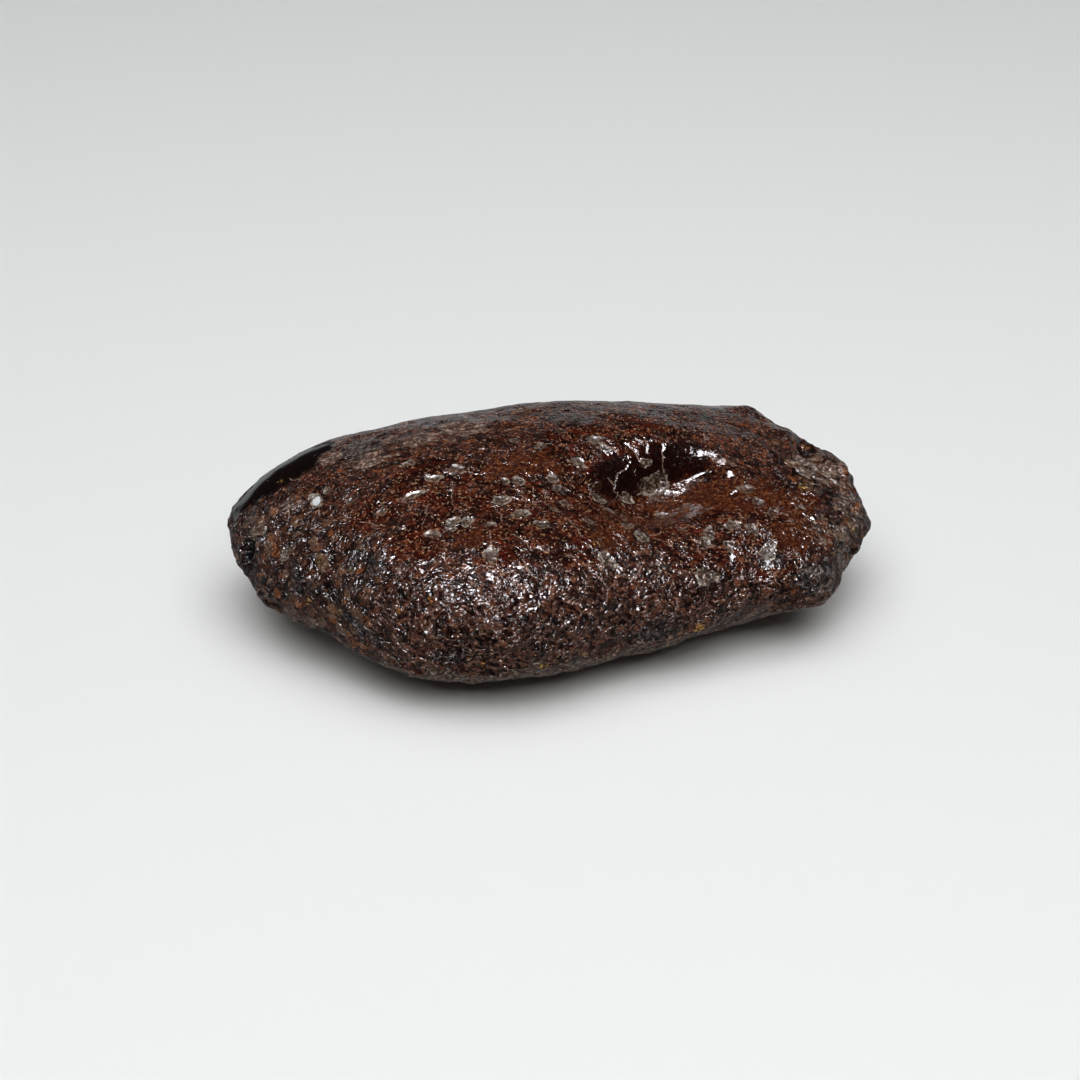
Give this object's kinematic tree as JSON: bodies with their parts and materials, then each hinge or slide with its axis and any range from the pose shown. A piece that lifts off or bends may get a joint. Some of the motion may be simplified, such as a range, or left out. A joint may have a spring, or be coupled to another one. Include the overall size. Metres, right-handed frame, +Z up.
{
  "type": "raw amber piece",
  "caption": "Raw lump of dark red-brown amber with a wrinkled crust, clear windows, a hollow on top and a polished back rim, lying on a small flat.",
  "frame": {"origin": "middle of the bounding box's foot, on the small flat that the piece rests on", "axes": "+X along the length, +Y to the polished back rim, +Z up"},
  "size_m": [0.0912, 0.057, 0.027],
  "materials": {
    "amber": "dark red-brown resin, see-through in its windows, glossy and finely wrinkled, chalky grey-brown where the crust is left"
  },
  "bodies": {
    "root": {"amber_nodule": "amber"}
  },
  "joints": []
}
